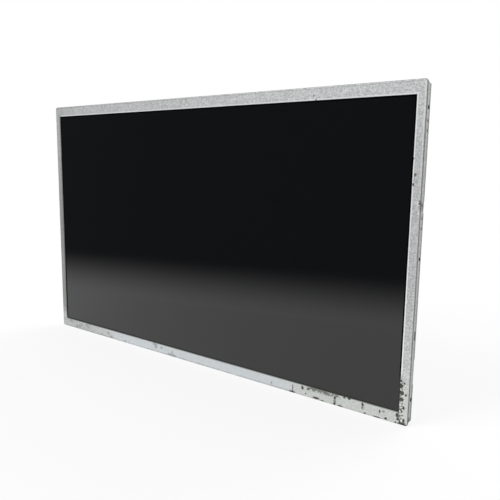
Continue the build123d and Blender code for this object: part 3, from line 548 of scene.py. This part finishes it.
def scuffs_and_shade(s, ragged):
    """Mask of the scuffed part of the right-hand wall and of dirt beside the knock, and of painted shade in
    the walls' dimples and holes and at the right-hand wall's lower end.
    """
    worn = s.band(s.noise(scale=1.3, detail=4.0, roughness=0.7), *SCUFF_CUT)
    torn = s.times(worn, s.near(s.z, *SCUFFED), s.band(s.x, *(WALL - depth for depth in SCUFF_IN)))
    rounds = [(z, PRESSED_R) for z in PRESSED] + [(z, HOLE_R) for z in HOLES]
    recess_shade = [s.spot((side * WALL, HOLE_Y, z), (r, r, r), ragged) for z, r in rounds for side in (-1, 1)]
    return s.most([torn, s.spot(*CORNER_SHADE, ragged), s.spot(*KNOCK_GRIME, ragged)] + recess_shade)


LOWER_Z = (8.5, 6.5)        # lower border, painted paler than the rest as if lit from below: at its top, right end and left end
LOWER_RIGHT = (161.4, 160.6)
LOWER_LEFT = (-120.0, -65.0)
ZINC_ROUGHNESS = (0.52, 0.8)  # clean, and under glue or dirt
CRYSTAL_GLOSS = 0.2         # pale crystals are smoother by this much
ZINC_RELIEF = (0.35, 0.03)


def zinc_steel():
    """Zinc-coated sheet: crystals, a lower border painted paler as if lit from below, glue, dirt, a scuffed
    wall, and painted highlights and shade on its edges, lip, walls, dimples and holes.
    """
    s = Surface("zinc_steel", metallic=0.35)
    tone = spangle(s)
    edge = outside_window(s)
    ragged = s.uneven(**RAGGED)
    lower = s.times(s.band(s.z, *LOWER_Z), s.band(s.x, *LOWER_RIGHT), s.band(s.x, *LOWER_LEFT))
    gum, dark, white = glue(s, lower, ragged)
    dirt = s.most([marks(s, DIRT, s.uneven(**TORN)), dark])
    # painted light on the lower border
    layers = [(lower, s.mix(tone, *LIT_LOWER_ZINC))]
    layers += dulled(s) + highlight_and_seam(s) + gummed(s, gum, white, lower)
    layers += stained(s, lower, edge, ragged) + lipped(s, edge)
    layers += [
        # painted shade on the folds and walls
        (folds(s, edge), FOLD_SHADE),
        # scuffs, and painted shade in the walls' dimples and holes
        (s.times(scuffs_and_shade(s, ragged), SCUFF_AND_SHADE_SHARE), SCUFF_AND_SHADE),
        (s.times(dirt, DIRT_SHARE), BLACK_DIRT),
    ]
    s.put("base_color", s.coated(s.mix(tone, *ZINC), layers))
    rough = s.lerp(s.most([gum, dirt]), *ZINC_ROUGHNESS)
    s.put("roughness", s.math("MULTIPLY_ADD", tone, -CRYSTAL_GLOSS, rough))
    lumps = s.times(gum, s.noise(scale=1.2, detail=4.0))
    s.bump(s.math("ADD", tone, lumps), *ZINC_RELIEF)
    return s.material


SCREEN_TONES = (tint(10, 11, 13), tint(44, 45, 46))  # bare and under dust
SCREEN_ROUGHNESS = (0.015, 0.06)
WIPE_STRETCH = (1.0, 1.0, 0.3)
DUST_CELLS = 0.35           # to the millimetre
DUST_SIZE = (0.09, 0.03)
DUST_SHARE = 0.35


def screen():
    """Glossy black front of the cell with faint dust and wiping marks."""
    s = Surface("screen", ior=1.58)
    wiped = s.noise(scale=0.06, detail=4.0, roughness=0.6, vector=s.stretched(*WIPE_STRETCH))
    dust = s.times(s.band(s.cells(DUST_CELLS), *DUST_SIZE), DUST_SHARE)
    s.put("base_color", s.mix(dust, *SCREEN_TONES))
    s.put("roughness", s.lerp(wiped, *SCREEN_ROUGHNESS))
    return s.material


METALS = {                  # dark and pale tone, roughness, stretch of the streaks, relief, whether handled
    "cover_aluminium": (tint(174, 177, 179), tint(192, 194, 196), 0.4, (0.008, 5.0, 5.0), 0.15, True),
    # the nuts' near-black tone is painted shade for the screw holes they sit behind
    "nut_steel": (tint(18, 18, 19), tint(34, 34, 35), 0.5, (2.0, 2.0, 2.0), 0.2, False),
    "shell_steel": (tint(186, 186, 184), tint(206, 206, 204), 0.32, (0.1, 4.0, 4.0), 0.1, False),
    "contact_metal": (tint(196, 158, 84), tint(236, 204, 130), 0.25, (4.0, 4.0, 1.0), 0.1, False),
}
STREAK_TONES = (0.3, 0.7)   # levels of the streaks that are wholly dark and wholly pale
STREAK_DEPTH = 0.01
METAL_SPREAD = 0.1          # roughness varies by this much either way
HANDLED = tint(156, 158, 157)
HANDLED_STRETCH = (1.0, 1.0, 0.5)
HANDLED_CUT = (0.52, 0.72)
HANDLED_SHARE = 0.2
HANDLED_DULL = 0.12


def brushed(name, dark, pale, roughness, stretch, relief, handled):
    """Rolled or drawn metal with fine streaks, and faint dull marks where it was handled."""
    s = Surface(name, metallic=0.9)
    streak = s.noise(scale=1.0, detail=4.0, roughness=0.65, vector=s.stretched(*stretch))
    cloud = s.noise(scale=0.05, detail=3.0, roughness=0.55)
    tone = s.weighed((streak, 0.8), (cloud, 0.2))
    colour = s.mix(s.band(tone, *STREAK_TONES), dark, pale)
    rough = s.lerp(tone, roughness - METAL_SPREAD, roughness + METAL_SPREAD)
    if handled:
        slow = s.noise(scale=0.04, detail=3.0, roughness=0.5, vector=s.stretched(*HANDLED_STRETCH))
        mark = s.band(slow, *HANDLED_CUT)
        colour = s.mix(s.times(mark, HANDLED_SHARE), colour, HANDLED)
        rough = s.math("MULTIPLY_ADD", mark, HANDLED_DULL, rough)
    s.put("base_color", colour)
    s.put("roughness", rough)
    s.bump(streak, relief, STREAK_DEPTH)
    return s.material


PLAIN = {                   # dark tone, pale tone, roughness and specular level
    "frame_plastic": (tint(30, 30, 31), tint(46, 46, 47), 0.55, 0.4),
    "cell_glass": (tint(40, 46, 46), tint(52, 58, 58), 0.12, 0.5),
    "dark_film": (tint(26, 26, 30), tint(36, 36, 40), 0.25, 0.5),
    "light_film": (tint(232, 234, 236), tint(242, 243, 244), 0.5, 0.5),
    "acrylic": (tint(226, 232, 236), tint(238, 242, 245), 0.15, 0.5),
    "white_film": (tint(238, 238, 234), tint(248, 248, 244), 0.6, 0.4),
    "lamp": (tint(232, 226, 178), tint(248, 244, 214), 0.5, 0.5),
    "chip": (tint(30, 30, 31), tint(44, 44, 45), 0.6, 0.4),
    "socket_plastic": (tint(206, 196, 170), tint(222, 213, 190), 0.5, 0.5),
    "ferrite": (tint(58, 58, 61), tint(76, 76, 78), 0.7, 0.3),
}
PLAIN_TONES = (0.32, 0.68)  # levels of the cloud that are wholly dark and wholly pale
PLAIN_SPREAD = 0.08


def moulded(name, dark, pale, roughness, specular):
    """Moulded, coated or ceramic surface with cloudy colour and fine grain."""
    s = Surface(name, specular=specular)
    cloud = s.noise(scale=0.12, detail=4.0, roughness=0.6)
    fine = s.noise(scale=3.0, detail=3.0, roughness=0.6)
    tone = s.weighed((cloud, 0.6), (fine, 0.4))
    s.put("base_color", s.mix(s.band(tone, *PLAIN_TONES), dark, pale))
    s.put("roughness", s.lerp(tone, roughness - PLAIN_SPREAD, roughness + PLAIN_SPREAD))
    s.bump(fine, *RELIEF)
    return s.material


TAPE_TONES = (tint(2, 2, 2), tint(7, 7, 7))
TAPE_DUST = tint(70, 71, 66)
TAPE_ROUGHNESS = (0.8, 0.9)
TAPE_DUST_SHARES = (0.5, 1.0)
TAPE_DUST_UP = (2.0, 1.0)   # from the window's lower edge
TAPE_DUST_IN = (2.0, 1.5)   # from its right edge
TAPE_DUST_TOP = (3.0, -3.0)  # from the top of the old glue


def black_tape():
    """Matt black tape, with dust along the window's lower edge and beside the old glue."""
    s = Surface("black_tape", specular=0.0)
    cloud = s.noise(scale=0.6, detail=4.0, roughness=0.6)
    under = s.band(s.z, *(WINDOW_LOW + up for up in TAPE_DUST_UP))
    below = s.band(s.z, *(RESIDUE_TOP + up for up in TAPE_DUST_TOP))
    beside = s.times(below, s.band(s.x, *(WINDOW_HALF - inwards for inwards in TAPE_DUST_IN)))
    dust = s.times(s.most([under, beside]), s.lerp(cloud, *TAPE_DUST_SHARES))
    s.put("base_color", s.mix(dust, s.mix(cloud, *TAPE_TONES), TAPE_DUST))
    s.put("roughness", s.lerp(cloud, *TAPE_ROUGHNESS))
    s.bump(cloud, *RELIEF)
    return s.material


FLEX_TONES = (tint(150, 92, 26), tint(182, 118, 44))
COPPER = tint(206, 140, 74)
COPPER_LINES = (0.25, 0.1, 0.16)  # pitch, and the line's edge
COPPER_SHARE = 0.5
FLEX_ROUGHNESS = (0.28, 0.42)


def flex():
    """Amber film over fine copper lines."""
    s = Surface("flex")
    line = s.lines(s.x, *COPPER_LINES)
    cloud = s.noise(scale=0.3, detail=3.0)
    s.put("base_color", s.mix(s.times(line, COPPER_SHARE), s.mix(cloud, *FLEX_TONES), COPPER))
    s.put("roughness", s.lerp(cloud, *FLEX_ROUGHNESS))
    s.bump(line, *RELIEF)
    return s.material


BOARD_TONES = (tint(14, 74, 44), tint(30, 106, 62))  # bare, and over a track
TRACKS = (0.3, 0.12, 0.17)  # pitch, and the track's edge
TRACK_FIELDS = 0.16         # to the millimetre, with tracks one way or the other
FIELD_CUT = (0.45, 0.46)
VIA = tint(206, 196, 160)
VIAS = 0.42                 # to the millimetre
VIA_OUTER = (0.16, 0.14)
VIA_INNER = (0.06, 0.08)
BOARD_ROUGHNESS = (0.32, 0.4)
BOARD_RELIEF = (0.4, 0.03)


def board():
    """Green solder mask over copper tracks, with tinned vias."""
    s = Surface("board")
    field = s.add("SeparateColor", s.cells(TRACK_FIELDS, "Color", distance="MANHATTAN")).outputs[0]
    track = s.lerp(s.band(field, *FIELD_CUT), s.lines(s.x, *TRACKS), s.lines(s.z, *TRACKS))
    via = s.cells(VIAS)
    ring = s.times(s.band(via, *VIA_OUTER), s.band(via, *VIA_INNER))
    s.put("base_color", s.mix(ring, s.mix(track, *BOARD_TONES), VIA))
    s.put("roughness", s.lerp(ring, *BOARD_ROUGHNESS))
    s.bump(s.math("ADD", track, ring), *BOARD_RELIEF)
    return s.material


ROW_END = 5.0               # first part of each row from the board's end
ROW_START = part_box("driver_board")[0].x / MM + ROW_END
ROWS = {                    # dark tone, pale tone, pitch and half length between the tinned ends
    "capacitor": (tint(150, 112, 76), tint(182, 144, 104), 5.2, 0.52),
    "resistor": (tint(22, 22, 24), tint(34, 34, 36), 6.1, 0.3),
}
TIN = (tint(176, 177, 178), tint(212, 213, 213))
TIN_EDGE = 0.03
TIN_METAL = 0.8
ROW_ROUGHNESS = (0.5, 0.34)


def ended(name, dark, pale, pitch, half_body):
    """Row of small parts with tinned ends, repeated along X."""
    s = Surface(name)
    along = s.math("WRAP", s.math("SUBTRACT", s.x, ROW_START), pitch / 2, -pitch / 2)
    tinned = s.band(s.math("ABSOLUTE", along), half_body - TIN_EDGE, half_body + TIN_EDGE)
    cloud = s.noise(scale=1.4, detail=3.0)
    s.put("base_color", s.mix(tinned, s.mix(cloud, dark, pale), s.mix(cloud, *TIN)))
    s.put("metallic", s.times(tinned, TIN_METAL))
    s.put("roughness", s.lerp(tinned, *ROW_ROUGHNESS))
    s.bump(cloud, *RELIEF)
    return s.material


FILM_TONES = (tint(214, 218, 216), tint(236, 239, 238))
FILM_ALPHA = (0.036, 0.062)
FILM_RELIEF = (0.5, 0.2)
CREASE_STRETCH = (0.6, 1.0, 1.6)


def clear_film():
    """Thin clear film, a little cloudy and creased."""
    s = Surface("clear_film", roughness=0.16)
    crease = s.noise(scale=0.14, detail=3.0, roughness=0.55, vector=s.stretched(*CREASE_STRETCH))
    s.put("base_color", s.mix(crease, *FILM_TONES))
    s.put("alpha", s.lerp(crease, *FILM_ALPHA))
    s.bump(crease, *FILM_RELIEF)
    return s.material


FILM_IN = 0.03              # from the solid film's rear face to the film that is shown
FILM_T = 0.03
FACES_REAR = 0.1            # least part of a normal along Y on the film's rear faces
WELD = 0.001                # points closer than this become one


def film_sheet(material):
    """Board film as a thinner sheet, clear of the faces that the solid film rests on."""
    shape = bmesh.new()
    shape.from_mesh(NODES["board_film"].data)
    others = [face for face in shape.faces if face.normal.y < FACES_REAR]
    bmesh.ops.delete(shape, geom=others, context="FACES")
    bmesh.ops.remove_doubles(shape, verts=shape.verts, dist=WELD * MM)
    bmesh.ops.translate(shape, verts=shape.verts, vec=(0.0, -FILM_IN * MM, 0.0))
    bmesh.ops.solidify(shape, geom=shape.faces[:], thickness=FILM_T * MM)
    mesh = bpy.data.meshes.new("film_sheet")
    shape.to_mesh(mesh)
    shape.free()
    mesh.materials.append(material)
    piece = bpy.data.objects.new("film_sheet", mesh)
    bpy.context.scene.collection.objects.link(piece)
    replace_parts(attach(piece, "root"), "board_film")


def dress():
    """Gives every node the material of its slot."""
    made = {
        "zinc_steel": zinc_steel(), "screen": screen(), "black_tape": black_tape(), "flex": flex(),
        "board": board(), "clear_film": clear_film(),
    }
    for make, table in ((brushed, METALS), (moulded, PLAIN), (ended, ROWS)):
        made.update({slot: make(slot, *values) for slot, values in table.items()})
    for row in frame["record"]["subparts"]:
        for place in NODES[row["node"]].material_slots:
            place.material = made[row["material_slot"]]
    film_sheet(made["clear_film"])


def white_world():
    """World that is white to the eye and lights the object less."""
    world = bpy.data.worlds.new("studio")
    world.use_nodes = True
    n = Nodes(world.node_tree)
    back = n.tree.nodes["Background"].inputs
    n.feed(back["Color"], WHITE)
    n.feed(back["Strength"], n.lerp(n.seen(), WORLD_LIGHT, 1.0))
    bpy.context.scene.world = world


def flat_mesh(name, corners):
    """Piece of the studio with one face."""
    mesh = bpy.data.meshes.new(name)
    mesh.from_pydata(corners, [], [tuple(range(len(corners)))])
    piece = bpy.data.objects.new(name, mesh)
    bpy.context.scene.collection.objects.link(piece)
    return piece


def stage_material(piece):
    """Empty material on a piece of the studio, as nodes and the socket for its shader."""
    material = bpy.data.materials.new(piece.name)
    material.use_nodes = True
    material.node_tree.nodes.clear()
    piece.data.materials.append(material)
    n = Nodes(material.node_tree)
    return n, n.add("OutputMaterial").inputs["Surface"]


def floor():
    """Pale floor that is white to the eye, most of all far away, and keeps the object's shadow."""
    h = FLOOR_HALF
    piece = flat_mesh("floor", [(-h, -h, 0.0), (h, -h, 0.0), (h, h, 0.0), (-h, h, 0.0)])
    n, surface = stage_material(piece)
    place = n.add("TexCoord").outputs["Object"]
    distance = n.add("VectorMath", place, operation="LENGTH").outputs["Value"]
    share = n.lerp(n.band(distance, FLOOR_NEAR, FLOOR_FAR), FLOOR_GLOW, 1.0)
    paint = n.add("BsdfDiffuse", FLOOR_COLOUR).outputs[0]
    glow = n.add("Emission").outputs[0]
    n.feed(surface, n.add("MixShader", n.math("MULTIPLY", n.seen(), share), paint, glow).outputs[0])


def mirrored_on_floor(x, z):
    """Floor point that the camera sees in the screen at a place on it."""
    point = Vector((x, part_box("front_polarizer")[0].y, z))
    ray = point - EYE
    ray.y = -ray.y
    return point + ray * (-point.z / ray.z)


def dark_card():
    """Upright dark card that only the glossy surfaces see, so that the screen stays dark."""
    left = mirrored_on_floor(-WINDOW_HALF * MM, SPLIT_LEFT)
    right = mirrored_on_floor(WINDOW_HALF * MM, SPLIT_RIGHT)
    middle = (left + right) / 2
    along = (right - left).normalized() * CARD_HALF
    up = Vector((0.0, 0.0, CARD_TOP))
    corners = [middle - along, middle + along, middle + along + up, middle - along + up]
    piece = flat_mesh("dark_card", [tuple(c) for c in corners])
    for kind in ("camera", "diffuse", "transmission", "volume_scatter", "shadow"):
        setattr(piece, "visible_" + kind, False)
    n, surface = stage_material(piece)
    height = n.add("SeparateXYZ", n.add("TexCoord").outputs["Object"]).outputs[2]
    level = n.lerp(n.band(height, 0.0, CARD_FADE), 1.0, CARD_DARK)
    n.feed(surface, n.add("Emission", None, level).outputs[0])


def lamps():
    """Large soft lamps, in front and behind."""
    for name, place, size, watts in LAMPS:
        light = bpy.data.lights.new(name, "AREA")
        light.energy = watts
        light.size = size
        lamp = bpy.data.objects.new(name, light)
        lamp.location = place
        lamp.rotation_euler = (LAMP_TARGET - Vector(place)).to_track_quat("-Z", "Y").to_euler()
        bpy.context.scene.collection.objects.link(lamp)


def camera():
    """Camera where the photograph was taken from."""
    data = bpy.data.cameras.new("camera")
    data.sensor_width = SENSOR
    data.lens = LENS
    data.clip_start = CLIP_START
    piece = bpy.data.objects.new("camera", data)
    up = RIGHT.cross(LOOK)
    turn = Matrix((RIGHT, up, -LOOK)).transposed().to_4x4()
    piece.matrix_world = Matrix.Translation(EYE) @ turn
    bpy.context.scene.collection.objects.link(piece)
    bpy.context.scene.camera = piece


bpy.context.scene.view_settings.view_transform = "Standard"
camera()
white_world()
floor()
dark_card()
lamps()
dress()
